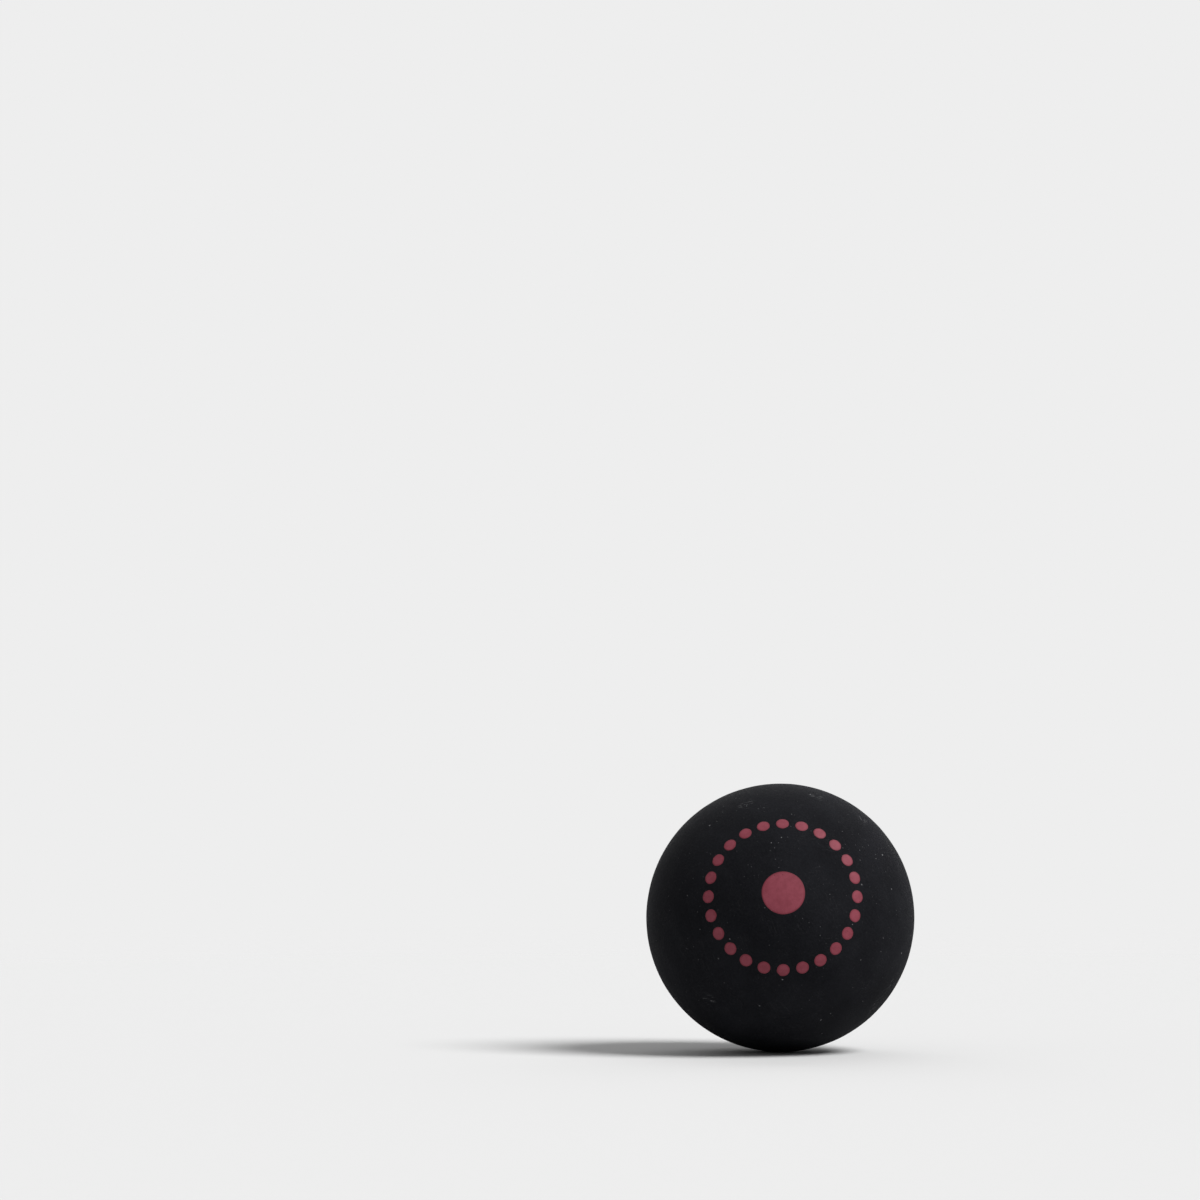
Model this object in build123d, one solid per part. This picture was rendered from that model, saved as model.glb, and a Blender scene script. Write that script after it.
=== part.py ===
from build123d import *
import math
import os

# A hollow rubber squash ball. Two moulded half shells are bonded rim to rim with rubber cement, and a
# speed mark is printed on the front half. Lengths are millimetres and angles are degrees.
# The origin is the centre of the ball and +Z is up. The seam lies in the XZ plane, the printed half faces
# -Y and the plain half faces +Y.

# The ball
ball_diameter = 40.0
wall_thickness = 5.0

# The bonded seam
bond_thickness = 0.14  # cured cement between the two flat rims
seam_edge_break = 0.10  # worn corner of each rim, which leaves a hairline groove round the ball
rim_relief = 0.80  # bevel at the inner corner of each rim, which takes the squeezed-out cement
bead_rise = 0.25  # how far the squeezed-out cement swells into the hollow

# The printed speed mark
ink_thickness = 0.03
speed_dot_diameter = 6.4  # measured over the curve of the ball
ring_dot_diameter = 1.9
ring_dot_count = 24
ring_radius = 11.6  # from the middle of the mark to the ring of dots, over the curve of the ball
mark_tilt = 13.0  # how far the middle of the mark stands above the level -Y direction

# What follows from them
outer_radius = ball_diameter / 2
inner_radius = outer_radius - wall_thickness
film_radius = outer_radius + ink_thickness
rim_height = bond_thickness / 2
rim_outer_radius = math.sqrt(outer_radius**2 - rim_height**2) - seam_edge_break
rim_inner_radius = math.sqrt(inner_radius**2 - rim_height**2) + rim_relief


def sphere_point(radius, height):
    """The point of a sphere's section that stands this high above the seam plane."""
    return Vector(math.sqrt(radius**2 - height**2), height)


# Where the rim's outer and inner bevels run out into the round walls
outer_corner = sphere_point(outer_radius, rim_height + seam_edge_break)
inner_corner = sphere_point(inner_radius, rim_height + rim_relief)


def round_arc(start, end):
    """The arc about the ball's centre that joins two points of one circle in the section."""
    middle = (start + end).normalized() * start.length
    return ThreePointArc(start, middle, end)


def turned(outline):
    """The solid that a closed section makes when it turns about the ball's Y axis."""
    return revolve(make_face(outline), axis=Axis.Y)


def half_shell():
    """The plain half shell: a round wall with a flat rim and a bevel at each corner of the rim."""
    outer_pole = Vector(0, outer_radius)
    inner_pole = Vector(0, inner_radius)
    outline = [
        round_arc(outer_corner, outer_pole),
        Line(outer_pole, inner_pole),
        round_arc(inner_pole, inner_corner),
        Polyline(inner_corner, (rim_inner_radius, rim_height), (rim_outer_radius, rim_height), outer_corner),
    ]
    return turned(outline)


def seam_bond():
    """The cured cement: a thin flat ring between the rims, with a bead that fills their inner bevels."""
    bead_front = Vector(inner_corner.X, -inner_corner.Y)
    bead_crest = Vector(inner_corner.X - bead_rise, 0)
    outline = [
        Polyline(
            bead_front,
            (rim_inner_radius, -rim_height),
            (rim_outer_radius, -rim_height),
            (rim_outer_radius, rim_height),
            (rim_inner_radius, rim_height),
            inner_corner,
        ),
        ThreePointArc(inner_corner, bead_crest, bead_front),
    ]
    return turned(outline)


def ink_spot(diameter):
    """A round film of ink on the front pole of the ball, its diameter measured over the curve."""
    reach = diameter / 2 / outer_radius
    towards_pole = Vector(0, -1)
    towards_edge = Vector(math.sin(reach), -math.cos(reach))
    outline = [
        round_arc(towards_pole * outer_radius, towards_edge * outer_radius),
        Line(towards_edge * outer_radius, towards_edge * film_radius),
        round_arc(towards_edge * film_radius, towards_pole * film_radius),
        Line(towards_pole * film_radius, towards_pole * outer_radius),
    ]
    return turned(outline)


def ring_dots():
    """Evenly spaced spots of ink, each swung away from the front pole by the ring's radius."""
    swing = math.degrees(ring_radius / outer_radius)
    spot = ink_spot(ring_dot_diameter)
    step = 360 / ring_dot_count
    return [Rot(Y=step * k) * Rot(X=-swing) * spot for k in range(ring_dot_count)]


def on_mark(spots):
    """The ink spots lifted from the front pole to where the mark stands on the ball."""
    return Compound(children=[Rot(X=-mark_tilt) * spot for spot in spots])


nodes = {
    "front_half_shell": Rot(Z=180) * half_shell(),
    "rear_half_shell": half_shell(),
    "seam_bond": seam_bond(),
    "speed_dot": on_mark([ink_spot(speed_dot_diameter)]),
    "ring_dots": on_mark(ring_dots()),
}

os.makedirs("parts", exist_ok=True)
for name, shape in nodes.items():
    shape.label = name
    export_step(shape, f"parts/{name}.step")
    print(name, "volume", round(shape.volume, 2), "mm3")
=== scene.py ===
import math

import bpy
import numpy as np
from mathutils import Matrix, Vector


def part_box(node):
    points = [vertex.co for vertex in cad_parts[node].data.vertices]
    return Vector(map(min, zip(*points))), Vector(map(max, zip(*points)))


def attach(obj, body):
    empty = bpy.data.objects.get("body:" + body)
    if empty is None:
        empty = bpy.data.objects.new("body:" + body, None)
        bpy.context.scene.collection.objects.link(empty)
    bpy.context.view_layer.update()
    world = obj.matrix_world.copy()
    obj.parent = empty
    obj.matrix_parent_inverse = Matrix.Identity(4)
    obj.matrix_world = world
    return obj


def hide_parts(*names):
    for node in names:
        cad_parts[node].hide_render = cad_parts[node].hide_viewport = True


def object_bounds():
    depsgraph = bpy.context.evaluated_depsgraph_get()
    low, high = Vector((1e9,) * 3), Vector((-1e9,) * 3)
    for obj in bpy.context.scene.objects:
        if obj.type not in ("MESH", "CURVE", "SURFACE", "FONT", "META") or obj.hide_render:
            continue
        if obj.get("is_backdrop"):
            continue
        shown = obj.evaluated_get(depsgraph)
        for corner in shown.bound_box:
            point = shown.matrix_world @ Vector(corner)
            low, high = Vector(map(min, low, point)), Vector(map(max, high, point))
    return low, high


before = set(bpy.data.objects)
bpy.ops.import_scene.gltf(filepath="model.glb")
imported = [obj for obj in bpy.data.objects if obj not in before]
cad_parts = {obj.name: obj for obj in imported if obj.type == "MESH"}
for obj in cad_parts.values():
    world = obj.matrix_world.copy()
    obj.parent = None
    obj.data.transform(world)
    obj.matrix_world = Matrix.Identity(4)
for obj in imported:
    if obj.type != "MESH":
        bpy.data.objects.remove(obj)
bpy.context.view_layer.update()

# Sizes in metres. The outside and the seam come from the solids, and the rest are written once here.
MM = 0.001
front_low, front_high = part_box("front_half_shell")
bond_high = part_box("seam_bond")[1]
ball_radius = -front_low.y
rim_height = -front_high.y
bond_radius = bond_high.x
bead_height = bond_high.y
ball_axis = np.array((0.0, 1.0, 0.0))  # square to the plane of the seam
wall_thickness = 5.0 * MM
rim_bevel = 0.8 * MM  # at the inner corner of each rim
inner_radius = ball_radius - wall_thickness
rim_inner_radius = inner_radius + rim_bevel
seam_corner = 0.13 * MM  # rounding of each rim's outer corner
bead_rise = 0.25 * MM  # how far the cement swells into the hollow
seam_fill = 0.05 * MM  # how far the cement stands out between the rounded corners
arch_base = 0.6  # share of that which lies under the arch of the cement's outer edge
arch_cut = 0.9  # cuts the arch off before its ends turn steep

# Unevenness of the surfaces, as waves of a length, a height and a seed
rubber_waves = (
    (21 * MM, 0.014 * MM, 11),  # swells from the mould
    (4.6 * MM, 0.0042 * MM, 12),  # buffing marks
    (1.9 * MM, 0.0014 * MM, 13),  # ripple
)
cement_waves = ((2.4 * MM, 0.012 * MM, 31),)  # waver of the outer edge

# The printed mark
mark_tilt = math.radians(13.0)
speed_dot_radius = 3.2 * MM
ring_dot_radius = 0.95 * MM
ring_dot_count = 24
ring_radius = 11.6 * MM
ink_height = 0.028 * MM
ink_root = 0.03 * MM  # how deep the film's underside sinks into the rubber
ink_rounding = 0.05 * MM  # how far from its edge the film has most of its height
ink_waver = 0.004 * MM
ink_lobes = np.arange(2, 9)  # counts of the waves round the outline of a dot
speed_dot_seed = 50
ring_dots_seed = 60

# Steps of the meshes
shell_steps = 96  # from the pole of a half to its rim
speed_dot_steps = 40  # from the middle of a dot to its edge
ring_dot_steps = 12
edge_crowding = 1.5  # how closely the steps of a dot crowd towards its edge
corner_steps = 7  # over a rim's rounded corner
seam_steps = 720  # round the seam
bead_steps = 8  # over the cement's bead
arch_steps = 4  # over its outer edge

# Marks on the rubber and the ink, in millimetres
scratch_turns = ((0, 0, 0.3), (0, 1.2, 0), (0, 0.75, 0.8))  # of the X axis, along which scratches run
scuff_core = 0.2  # share of its reach within which a scuff is whole
scuffs = (  # place, reach, and slant of the streaks from the level direction, in radians
    ((-5.2, -8.8, 17.2), 1.7, 0.5),
    ((5.3, -6.3, 18.2), 1.5, 0.15),
    ((12.2, -5.5, 14.9), 1.6, 0.9),
    ((16.6, -6.1, -9.3), 2.2, 1.1),
    ((14.0, -6.3, -12.8), 2.0, 0.6),
    ((-10.8, -12.2, -11.6), 1.5, -0.1),
    ((-8.0, 17.5, 5.5), 1.7, 0.6),
    ((3.0, 19.0, -5.4), 1.5, -0.3),
)
ground_strip = (1.3, 0.6)  # distances from the seam at which its ground strip ends and is whole
dust_heights = (-24, 16)  # heights from the ball's centre between which settled dust grows from none to all
squeezed_edge = (0.30, 0.06)  # distances from a dot's edge at which the squeezed ink ends and is darkest

# Colours, as linear light
rubber_black = (0.0033, 0.0034, 0.0045, 1)
rubber_bloom = (0.0130, 0.0134, 0.0160, 1)
rubbed_grey = (0.050, 0.050, 0.053, 1)
dust_grey = (0.26, 0.26, 0.265, 1)
cement_dark = (0.003, 0.003, 0.003, 1)
cement_pale = (0.008, 0.0075, 0.007, 1)
ink_thin = (0.175, 0.030, 0.045, 1)
ink_full = (0.238, 0.048, 0.070, 1)
ink_edge = (0.140, 0.019, 0.030, 1)
pinhole_dark = (0.02, 0.006, 0.008, 1)
ink_dust = (0.30, 0.27, 0.27, 1)

# The photograph's frame, in its own pixels
photo_width = 1200
ball_pixel = (780.2, 917.7)
ball_radius_pixels = 134.1
camera_distance = 1.13  # in metres from the ball, as far as its camera is taken to stand

# The pale studio, with its greys as linear light, and its two soft lamps
backdrop_level = 0.855
fill_level = 0.24
floor_albedo = 0.672
floor_reach = 0.6
floor_fade = (0.10, 0.45)  # metres from the ball at which the floor starts to fade and is gone
lamps = {
    "key": {"from": (0.58, -0.30, 0.76), "energy": 3.5, "angle": 30},
    "back": {"from": (0.05, 0.85, 0.52), "energy": 1.1, "angle": 70},
}


# Surfaces


def unit(vectors):
    """Vectors shortened or lengthened to one."""
    return vectors / np.linalg.norm(vectors, axis=-1, keepdims=True)


def wave_noise(points, wavelength, seed, waves=28):
    """Smooth noise of unit spread: a sum of plane waves of one length, with seeded directions and phases."""
    random = np.random.default_rng(seed)
    ways = unit(random.normal(size=(waves, 3)))
    phases = random.uniform(0, 2 * np.pi, waves)
    turns = points @ ways.T * (2 * np.pi / wavelength) + phases
    return np.cos(turns).sum(axis=-1) * math.sqrt(2 / waves)


def unevenness(points, waves):
    """How far a surface stands off its even shape: the sum of noises of several wavelengths and heights."""
    return sum(wave_noise(points, length, seed) * height for length, height, seed in waves)


def outer_relief(directions):
    """How far the buffed rubber stands off a true sphere in each direction."""
    return unevenness(directions * ball_radius, rubber_waves)


def disc_grid(half):
    """A square grid bent into a disc. Ring k of the square becomes circle k, and a step along a ring becomes
    an equal step of angle, so the disc has no pole. Gives each point's share of the radius and its angle."""
    steps = np.arange(-half, half + 1)
    across, up = np.meshgrid(steps, steps, indexing="ij")
    sideways = abs(across) >= abs(up)
    rise = up / np.where(across == 0, 1, across)
    run = across / np.where(up == 0, 1, up)
    side_angle = np.pi / 4 * rise + np.where(across < 0, np.pi, 0)
    end_angle = np.pi / 2 - np.pi / 4 * run + np.where(up < 0, np.pi, 0)
    share = np.maximum(abs(across), abs(up)) / half
    return share, np.where(sideways, side_angle, end_angle)


def rim_order(half, angle):
    """The places of the disc grid's outermost points in its flat list of points, ordered by their angle."""
    places = np.arange((2 * half + 1) ** 2).reshape(2 * half + 1, -1)
    outside = np.concatenate([places[0], places[-1], places[1:-1, 0], places[1:-1, -1]])
    return outside[np.argsort(angle.ravel()[outside] % (2 * np.pi))]


def cap_directions(axis, polar, angle):
    """Unit directions at a polar angle from an axis, turned about it, counted from the level direction."""
    level = unit(np.cross((0, 0, 1), axis))
    rising = np.cross(axis, level)
    ring = np.cos(angle)[..., None] * level + np.sin(angle)[..., None] * rising
    return np.sin(polar)[..., None] * ring + np.cos(polar)[..., None] * axis


def grid_faces(places):
    """Four-cornered faces between the neighbours of a grid of point numbers."""
    corners = places[:-1, :-1], places[1:, :-1], places[1:, 1:], places[:-1, 1:]
    return np.stack(corners, axis=-1).reshape(-1, 4)


def closed_skin(outer, band, inner, order):
    """One closed surface from two disc grids and the rows of points that join their rims. The outer grid and
    the band face away from the ball's centre, and the inner grid faces towards it."""
    count = outer.shape[0] * outer.shape[1]
    places = np.arange(count).reshape(outer.shape[:2])
    band_places = 2 * count + np.arange(band.shape[0] * band.shape[1]).reshape(band.shape[:2])
    rows = np.vstack([order, band_places, order + count])
    rows = np.column_stack([rows, rows[:, 0]])
    points = np.concatenate([outer.reshape(-1, 3), inner.reshape(-1, 3), band.reshape(-1, 3)])
    faces = np.concatenate([grid_faces(places), grid_faces(rows), grid_faces(places.T + count)])
    return points, faces


def piece(name, points, faces, material, replaced, fields=None):
    """A smooth mesh from arrays of points and four-cornered faces. It rides on the ball, stands for a solid
    of the frame and carries any named number per point."""
    mesh = bpy.data.meshes.new(name)
    mesh.vertices.add(len(points))
    mesh.vertices.foreach_set("co", points.astype(np.float32).ravel())
    mesh.loops.add(faces.size)
    mesh.loops.foreach_set("vertex_index", faces.astype(np.int32).ravel())
    mesh.polygons.add(len(faces))
    mesh.polygons.foreach_set("loop_start", np.arange(0, faces.size, 4, dtype=np.int32))
    for label, values in (fields or {}).items():
        field = mesh.attributes.new(label, "FLOAT", "POINT")
        field.data.foreach_set("value", values.astype(np.float32))
    mesh.update(calc_edges=True)
    mesh.validate()
    mesh.shade_smooth()
    mesh.materials.append(material)
    made = bpy.data.objects.new(name, mesh)
    bpy.context.scene.collection.objects.link(made)
    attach(made, "root")
    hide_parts(replaced)


# Finishes


class Value:
    """A number or colour that a node gives. Arithmetic on it adds Math nodes."""

    def __init__(self, finish, socket):
        self.finish = finish
        self.socket = socket

    def math(self, operation, *values):
        """The result of a Math node."""
        return self.finish.node("ShaderNodeMath", {"operation": operation}, dict(enumerate(values)))

    def __add__(self, other):
        return self.math("ADD", self, other)

    def __sub__(self, other):
        return self.math("SUBTRACT", self, other)

    def __rsub__(self, other):
        return self.math("SUBTRACT", other, self)

    def __mul__(self, other):
        return self.math("MULTIPLY", self, other)

    def __truediv__(self, other):
        return self.math("DIVIDE", self, other)

    def __rtruediv__(self, other):
        return self.math("DIVIDE", other, self)

    def __pow__(self, other):
        return self.math("POWER", self, other)

    def __rpow__(self, other):
        return self.math("POWER", other, self)

    def __abs__(self):
        return self.math("ABSOLUTE", self)

    __radd__ = __add__
    __rmul__ = __mul__

    def larger(self, other):
        """The larger of two numbers."""
        return self.math("MAXIMUM", self, other)

    def output(self, name):
        """Another output of the same node."""
        return Value(self.finish, self.socket.node.outputs[name])

    def step(self, low, high):
        """0 below low, 1 above high, and a smooth rise between them. It falls where low is above high."""
        limits = {"Value": self, "From Min": low, "From Max": high}
        return self.finish.node("ShaderNodeMapRange", {"interpolation_type": "SMOOTHSTEP"}, limits)


class Finish:
    """The nodes of a material or a world, with one method that adds any node and a few that name common
    ones. Sizes of patterns are millimetres."""

    def __init__(self, owner):
        self.owner = owner
        self.owner.use_nodes = True
        self.tree = owner.node_tree
        self.tree.nodes.clear()

    def node(self, kind, settings=None, sockets=None, output=0):
        """Adds a node, sets its settings, then fills or links its sockets, and gives one of its outputs."""
        made = self.tree.nodes.new(kind)
        for label, setting in (settings or {}).items():
            setattr(made, label, setting)
        for label, value in (sockets or {}).items():
            if isinstance(value, Value):
                self.tree.links.new(value.socket, made.inputs[label])
            else:
                made.inputs[label].default_value = value
        return Value(self, made.outputs[output]) if made.outputs else None

    def place(self):
        """The point on the object, in millimetres."""
        point = self.node("ShaderNodeTexCoord", output="Object")
        return self.node("ShaderNodeVectorMath", {"operation": "SCALE"}, {"Vector": point, "Scale": 1 / MM})

    def noise(self, point, size, detail=2.0, roughness=0.5):
        """Smooth noise between 0 and 1, with finer noise added to it as detail."""
        sockets = {"Vector": point, "Scale": 1 / size, "Detail": detail, "Roughness": roughness}
        return self.node("ShaderNodeTexNoise", {}, sockets, "Fac")

    def streaks(self, point, size, turn=(0, 0, 0), cut=0.64, fade=0.1):
        """Thin streaks: noise stretched to a size along each axis and then turned, and cut off so that only
        its crests are left, with a soft edge."""
        sockets = {"Vector": point, "Scale": size, "Rotation": turn}
        stretched = self.node("ShaderNodeMapping", {"vector_type": "TEXTURE"}, sockets)
        return self.noise(stretched, size=1.0, detail=1.0).step(cut, cut + fade)

    def cells(self, point, spacing):
        """The distance to the nearest of many random places, as a share of their spacing."""
        return self.node("ShaderNodeTexVoronoi", {}, {"Vector": point, "Scale": 1 / spacing}, "Distance")

    def specks(self, point, spacing, size, share, smallest=0.4, core=0.6):
        """Specks in a share of the cells of a random pattern. Each has its own size, from the smallest share
        of the given one up to it, and its own brightness, and most are faint."""
        far = self.cells(point, spacing)
        draw = self.node("ShaderNodeSeparateColor", {}, {"Color": far.output("Color")}, "Red")
        brightness = draw.step(1 - share, 1.0) ** 2
        reach = (smallest + (1 - smallest) * draw.output("Green")) * (size / spacing)
        return (far / reach).step(1.0, core) * brightness

    def patches(self, point, spacing, reach, core):
        """Soft round patches about random places, whole within the core and gone at their reach."""
        return self.cells(point, spacing).step(reach / spacing, core / spacing)

    def frayed(self, point, size=0.125, shift=0.16):
        """The point moved about by fine noise, which frays the outlines of a pattern."""
        sockets = {"Vector": point, "Scale": 1 / size, "Detail": 1.0}
        sway = self.node("ShaderNodeTexNoise", {}, sockets, "Color")
        sockets = {0: sway, 1: (shift, shift, shift), 2: point}
        return self.node("ShaderNodeVectorMath", {"operation": "MULTIPLY_ADD"}, sockets)

    def far_from(self, point, place):
        """The distance from a place."""
        return self.node("ShaderNodeVectorMath", {"operation": "DISTANCE"}, {0: point, 1: place}, "Value")

    def blend(self, share, first, second):
        """A colour between two colours. The Mix node's sockets go by number, because their names repeat."""
        return self.node("ShaderNodeMix", {"data_type": "RGBA"}, {0: share, 6: first, 7: second}, 2)

    def bump(self, height, depth, strength):
        """The surface's normal, tilted by the slopes of a height."""
        sockets = {"Height": height, "Distance": depth * MM, "Strength": strength}
        return self.node("ShaderNodeBump", {}, sockets, "Normal")

    def surface(self, shader):
        """The finished material."""
        self.node("ShaderNodeOutputMaterial", {}, {"Surface": shader})
        return self.owner

    def coat(self, sockets):
        """The finished material with one general shader."""
        return self.surface(self.node("ShaderNodeBsdfPrincipled", {}, sockets, "BSDF"))


def grey(level):
    """A grey as linear light."""
    return (level, level, level, 1)


def scuff(finish, point, place, reach, slant):
    """Streaks that run along the ball's surface at a place, in its level direction turned by the slant, and
    fade out towards their reach."""
    way = cap_directions(unit(np.array(place)), np.pi / 2, slant)
    turn = Vector(way).to_track_quat("X", "Z").to_euler()
    patch = finish.far_from(point, place).step(reach, scuff_core * reach)
    return finish.streaks(point, size=(1.9, 0.12, 0.12), turn=turn, cut=0.58) * patch


def buffed_rubber():
    """Black rubber, buffed all over: clouds of bloom, a pebbled grain, short scratches, a ground strip along
    the seam, a few scuffs, and dust that lies in clusters and thickest on the top."""
    finish = Finish(bpy.data.materials.new("buffed_rubber"))
    point = finish.place()
    across = finish.node("ShaderNodeSeparateXYZ", {}, {"Vector": point}, "Y")
    height = across.output("Z")

    bloom = finish.noise(point, size=7.7, detail=3.0, roughness=0.55).step(0.36, 0.70)
    mottle = finish.noise(point, size=0.9, detail=4.0, roughness=0.6)
    pebble = finish.noise(point, size=0.33)
    grain = finish.noise(point, size=0.15, roughness=0.6)
    share = bloom * 0.35 + mottle * 0.20 + pebble.step(0.3, 0.7) * 0.20 + grain.step(0.3, 0.7) * 0.25
    colour = finish.blend(share, rubber_black, rubber_bloom)

    rubbed = finish.noise(point, size=3.3).step(0.46, 0.62)
    scratches = sum(finish.streaks(point, size=(3.2, 0.10, 0.10), turn=turn) for turn in scratch_turns)
    scratches = scratches * rubbed
    ground = abs(across).step(*ground_strip)
    ground_lines = finish.streaks(point, size=(3.0, 0.07, 3.0), cut=0.60) * ground
    marks = scratches * 0.22 + ground_lines * 0.30 + ground * 0.08
    colour = finish.blend(marks, colour, rubbed_grey)

    scuff_marks = sum(scuff(finish, point, *values) for values in scuffs) * mottle.step(0.40, 0.54)
    frayed = finish.frayed(point)
    settled = finish.noise(point, size=4.5).step(0.40, 0.66) * height.step(*dust_heights)
    clusters = finish.patches(point, spacing=5.0, reach=1.6, core=0.3)
    coarse_dust = finish.specks(frayed, spacing=1.5, size=0.16, share=0.6)
    fine_dust = finish.specks(frayed, spacing=0.5, size=0.095, share=0.8) * clusters.larger(settled * 0.7)
    dust = (coarse_dust * 0.65).larger(fine_dust * 0.9).larger(scuff_marks * 0.45)
    colour = finish.blend(dust, colour, dust_grey)

    relief = grain * 0.6 + pebble * 0.7 + mottle * 0.4 - scratches * 0.15 - ground_lines * 0.3
    return finish.coat({
        "Base Color": colour,
        "Roughness": 0.80 + bloom * 0.06 + grain * 0.10 + ground * 0.03 - scratches * 0.10,
        "Normal": finish.bump(relief, depth=0.09, strength=0.8),
        "Specular IOR Level": 0.05,
    })


def rubber_cement():
    """Cured cement: dark and lumpy, a little glossier than the rubber."""
    finish = Finish(bpy.data.materials.new("rubber_cement"))
    lumps = finish.noise(finish.place(), size=0.33)
    return finish.coat({
        "Base Color": finish.blend(lumps, cement_dark, cement_pale),
        "Roughness": 0.45 + lumps * 0.2,
        "Specular IOR Level": 0.3,
    })


def mark_ink():
    """Matte printing ink: cloudy where the pad left it thin, with pinholes and a little dust, and darker
    along the edge of each dot, where it was squeezed out. The mesh gives the distance from that edge, in
    millimetres."""
    finish = Finish(bpy.data.materials.new("mark_ink"))
    point = finish.place()
    inset = finish.node("ShaderNodeAttribute", {"attribute_name": "inset"}, {}, "Fac")
    squeezed = inset.step(*squeezed_edge)
    cloud = finish.noise(point, size=1.0, detail=4.0, roughness=0.6)
    stipple = finish.noise(point, size=0.14, roughness=0.6)
    share = cloud.step(0.30, 0.70) * 0.7 + stipple.step(0.25, 0.75) * 0.3
    colour = finish.blend(share, ink_thin, ink_full)
    colour = finish.blend(squeezed * 0.7, colour, ink_edge)

    frayed = finish.frayed(point)
    pinholes = finish.specks(frayed, spacing=0.6, size=0.09, share=0.4)
    colour = finish.blend(pinholes * 0.7, colour, pinhole_dark)
    dust = finish.specks(frayed, spacing=1.6, size=0.15, share=0.35)
    colour = finish.blend(dust * 0.6, colour, ink_dust)
    return finish.coat({
        "Base Color": colour,
        "Roughness": 0.56 + stipple * 0.12,
        "Normal": finish.bump(stipple + cloud * 0.4, depth=0.03, strength=0.35),
        "Specular IOR Level": 0.2,
    })


# Pieces of the ball


def half_shell(name, axis, replaced, material):
    """One moulded half: polar angle and turn on a disc grid give the round walls, and a profile of radius
    and height carried round the axis gives the rounded corner, the flat rim and the inner bevel."""
    share, angle = disc_grid(shell_steps)
    order = rim_order(shell_steps, angle)
    outer_polar = math.acos((rim_height + seam_corner) / ball_radius)
    inner_polar = math.acos((rim_height + rim_bevel) / inner_radius)
    outward = cap_directions(axis, share * outer_polar, angle)
    outer = outward * (ball_radius + outer_relief(outward))[..., None]
    inner = cap_directions(axis, share * inner_polar, angle) * inner_radius

    rim_angle = angle.ravel()[order]
    rim_way = cap_directions(axis, np.full(rim_angle.shape, np.pi / 2), rim_angle)
    rim_relief = outer_relief(outward.reshape(-1, 3)[order])
    round_off = np.linspace(0, np.pi / 2, corner_steps + 1)[1:]
    corner_radius = math.sqrt(ball_radius**2 - (rim_height + seam_corner) ** 2) - seam_corner
    radii = np.append(corner_radius + seam_corner * np.cos(round_off), rim_inner_radius)
    heights = np.append(rim_height + seam_corner * (1 - np.sin(round_off)), rim_height)
    relief_share = np.append(np.ones(corner_steps), 0)
    reach = radii[:, None] + relief_share[:, None] * rim_relief
    band = reach[..., None] * rim_way + heights[:, None, None] * axis
    points, faces = closed_skin(outer, band, inner, order)
    piece(name, points, faces, material, replaced)


def cement_ring(material):
    """The cement between the rims: a closed profile of radius and height carried round the ball's axis. Its
    inner edge swells into the hollow as a parabola, and its outer edge is a low elliptic arch, which wavers
    along the seam."""
    turns = np.linspace(0, 2 * np.pi, seam_steps, endpoint=False)
    way = np.stack([np.cos(turns), np.zeros_like(turns), np.sin(turns)], axis=-1)
    bead = np.linspace(-1, 1, bead_steps + 1)
    bead_radii = math.sqrt(inner_radius**2 - bead_height**2) - bead_rise * (1 - bead**2)
    arch = np.linspace(1, -1, arch_steps + 1)
    arch_rise = np.sqrt(1 - arch_cut * arch**2)
    arch_radii = bond_radius + seam_fill * (arch_base + (1 - arch_base) * arch_rise)
    radii = np.concatenate([bead_radii, [rim_inner_radius], arch_radii, [rim_inner_radius]])
    heights = np.concatenate([bead * bead_height, [rim_height], arch * rim_height, [-rim_height]])
    waver_share = np.concatenate([np.zeros(len(bead) + 1), np.ones(len(arch)), [0]])
    reach = radii[:, None] + waver_share[:, None] * unevenness(way * ball_radius, cement_waves)
    points = reach[..., None] * way + heights[:, None, None] * ball_axis
    places = np.arange(points.shape[0] * points.shape[1]).reshape(points.shape[:2])
    places = np.pad(places, ((0, 1), (0, 1)), mode="wrap")
    faces = grid_faces(places.T)
    piece("cement_ring", points.reshape(-1, 3), faces, material, "seam_bond")


def ink_spot(axis, radius, steps, seed):
    """A round film of ink: a disc grid on the ball, its rim a little uneven, raised by a height that grows
    from the edge inwards, over a root that sinks into the rubber. Gives also the distance from the edge."""
    random = np.random.default_rng(seed)
    share, angle = disc_grid(steps)
    order = rim_order(steps, angle)
    share = 1 - (1 - share) ** edge_crowding
    size = random.normal(size=len(ink_lobes)) * ink_waver
    phase = random.uniform(0, 2 * np.pi, len(ink_lobes))
    outline = radius + (size * np.cos(angle[..., None] * ink_lobes + phase)).sum(axis=-1)
    ways = cap_directions(axis, share * outline / ball_radius, angle)
    inset = (1 - share) * radius
    film = ink_height * (1 - np.exp(-inset / ink_rounding))
    ground = ball_radius + outer_relief(ways)
    top = ways * (ground + film)[..., None]
    root = ways * (ground - ink_root)[..., None]
    points, faces = closed_skin(top, np.zeros((0, len(order), 3)), root, order)
    return points, faces, np.tile(inset.ravel() / MM, 2)


def ink_piece(name, axes, radius, steps, seed, replaced, material):
    """All the spots of one printed node, joined into one mesh."""
    spots = [ink_spot(axis, radius, steps, seed + k) for k, axis in enumerate(axes)]
    starts = np.cumsum([0] + [len(points) for points, _, _ in spots[:-1]])
    points = np.concatenate([points for points, _, _ in spots])
    faces = np.concatenate([faces + start for (_, faces, _), start in zip(spots, starts)])
    inset = np.concatenate([inset for _, _, inset in spots])
    piece(name, points, faces, material, replaced, {"inset": inset})


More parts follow.
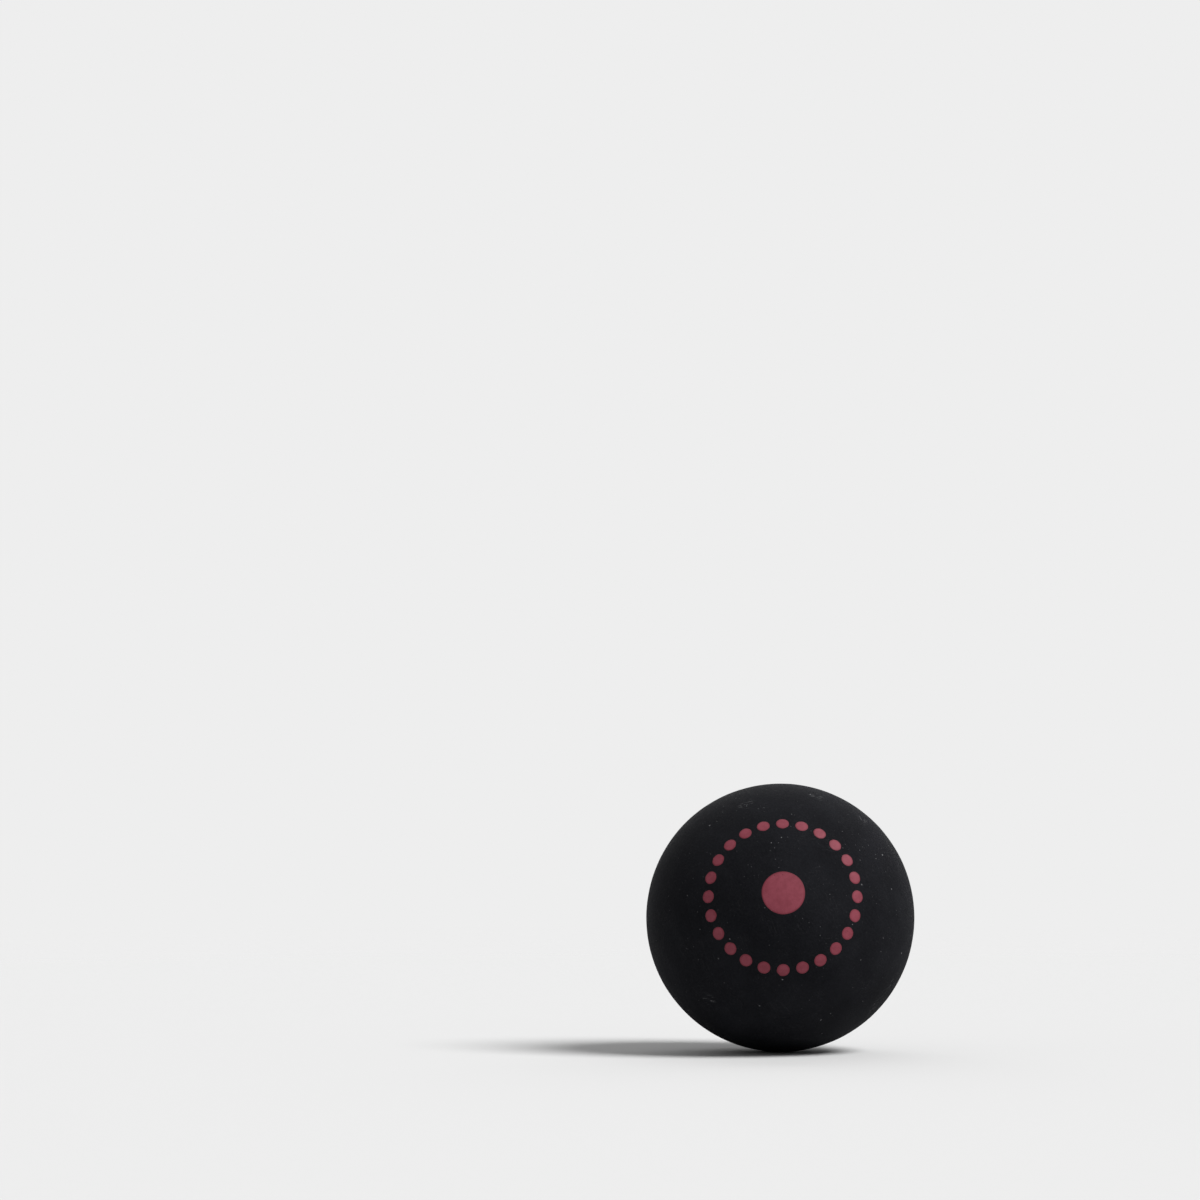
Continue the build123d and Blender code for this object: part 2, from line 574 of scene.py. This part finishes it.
def printed_mark(material):
    """The dot in the middle of the mark, and the ring of dots at an equal arc from it."""
    middle = np.array((0, -math.cos(mark_tilt), math.sin(mark_tilt)))
    turns = np.arange(ring_dot_count) * (2 * np.pi / ring_dot_count) + np.pi / 2
    swing = np.full(ring_dot_count, ring_radius / ball_radius)
    ring = cap_directions(middle, swing, turns)
    speed_dot = (speed_dot_radius, speed_dot_steps, speed_dot_seed)
    ring_dots = (ring_dot_radius, ring_dot_steps, ring_dots_seed)
    ink_piece("speed_dot_print", [middle], *speed_dot, "speed_dot", material)
    ink_piece("ring_dots_print", ring, *ring_dots, "ring_dots", material)


# Studio


def floor_paper():
    """Pale paper that fades out into the backdrop with the distance from the ball."""
    finish = Finish(bpy.data.materials.new("floor_paper"))
    point = finish.node("ShaderNodeTexCoord", output="Object")
    far = finish.node("ShaderNodeVectorMath", {"operation": "LENGTH"}, {0: point}, "Value")
    diffuse = finish.node("ShaderNodeBsdfDiffuse", {}, {"Color": grey(floor_albedo)})
    clear = finish.node("ShaderNodeBsdfTransparent")
    sockets = {0: far.step(*floor_fade), 1: diffuse, 2: clear}
    return finish.surface(finish.node("ShaderNodeMixShader", {}, sockets))


def floor(material):
    """A flat square sheet under the ball."""
    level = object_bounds()[0].z
    around = ((-1, -1), (1, -1), (1, 1), (-1, 1))
    mesh = bpy.data.meshes.new("floor")
    mesh.from_pydata([(x * floor_reach, y * floor_reach, level) for x, y in around], [], [(0, 1, 2, 3)])
    mesh.materials.append(material)
    sheet = bpy.data.objects.new("floor", mesh)
    bpy.context.scene.collection.objects.link(sheet)
    sheet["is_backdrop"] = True


def backdrop():
    """An even surround that is pale where it is seen or mirrored, and gives the soft fill light elsewhere.
    It isn't sampled as a lamp, because a ray sent to a lamp doesn't count as a mirrored one."""
    world = bpy.data.worlds.new("backdrop")
    bpy.context.scene.world = world
    world.cycles.sampling_method = "NONE"
    finish = Finish(world)
    seen = finish.node("ShaderNodeLightPath", output="Is Camera Ray")
    seen = seen.larger(seen.output("Is Glossy Ray")).larger(seen.output("Is Transmission Ray"))
    colour = finish.blend(seen, grey(fill_level), grey(backdrop_level))
    background = finish.node("ShaderNodeBackground", {}, {"Color": colour})
    finish.node("ShaderNodeOutputWorld", {}, {"Surface": background})


def soft_lamp(name, place, energy, angle):
    """A far lamp that shines from a place towards the ball, as wide as its angle in degrees."""
    light = bpy.data.lights.new(name, "SUN")
    light.energy = energy
    light.angle = math.radians(angle)
    holder = bpy.data.objects.new(name, light)
    holder.rotation_mode = "QUATERNION"
    holder.rotation_quaternion = Vector(place).to_track_quat("Z", "Y")
    bpy.context.scene.collection.objects.link(holder)


def photo_camera():
    """A level camera that looks along +Y and sees the ball where the photograph has it. The ball's size in
    the picture gives the focal length, and its place there how far aside and above the camera stands."""
    focal_pixels = ball_radius_pixels * camera_distance / ball_radius
    aside, above = [(pixel - photo_width / 2) / focal_pixels * camera_distance for pixel in ball_pixel]
    data = bpy.data.cameras.new("photo_camera")
    data.lens = data.sensor_width * focal_pixels / photo_width
    camera = bpy.data.objects.new("photo_camera", data)
    camera.location = (-aside, -camera_distance, above)
    camera.rotation_euler = (math.pi / 2, 0, 0)
    bpy.context.scene.collection.objects.link(camera)
    bpy.context.scene.camera = camera


rubber = buffed_rubber()
half_shell("front_half_buffed", -ball_axis, "front_half_shell", rubber)
half_shell("rear_half_buffed", ball_axis, "rear_half_shell", rubber)
cement_ring(rubber_cement())
printed_mark(mark_ink())

floor(floor_paper())
backdrop()
for name, lamp in lamps.items():
    soft_lamp(name, lamp["from"], lamp["energy"], lamp["angle"])
photo_camera()
bpy.context.scene.view_settings.view_transform = "Standard"
